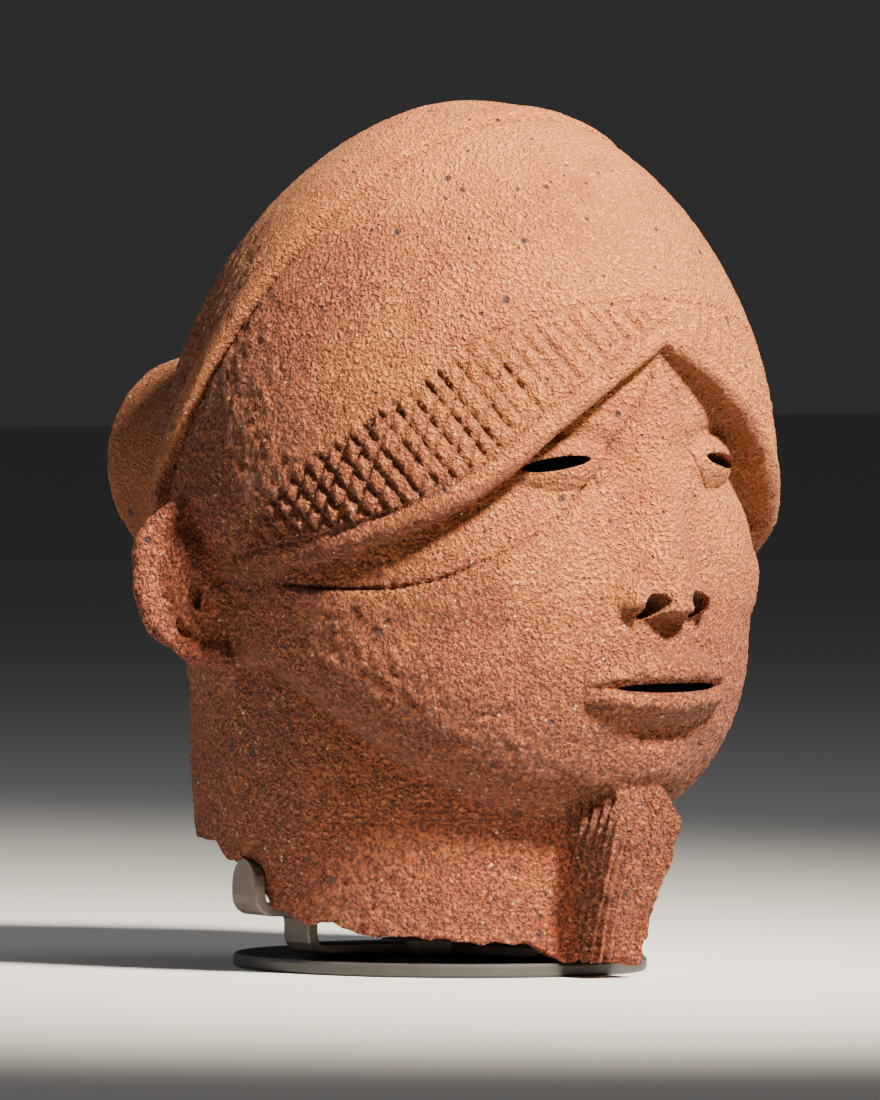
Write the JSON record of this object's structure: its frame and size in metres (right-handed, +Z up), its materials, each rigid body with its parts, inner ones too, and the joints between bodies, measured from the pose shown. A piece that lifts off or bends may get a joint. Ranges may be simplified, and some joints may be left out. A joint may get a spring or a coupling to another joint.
{
  "type": "terracotta head sculpture",
  "caption": "Hollow fired-clay head with a hatched brim, cupped ears, a bun and a beard, broken off at the neck and held on a small steel cradle with a foot plate.",
  "frame": {"origin": "middle of the foot plate's underside, below the middle of the neck", "axes": "+Z up, the face looks towards -Y, the head's own right side is towards -X"},
  "size_m": [0.1894, 0.2281, 0.253],
  "materials": {
    "fired_clay": "coarse fired clay, matt",
    "satin_steel": "satin",
    "plate_steel": "matt dark paint"
  },
  "bodies": {
    "root": {"terracotta_head": "fired_clay", "cradle": "satin_steel", "foot_plate": "plate_steel"}
  },
  "joints": []
}
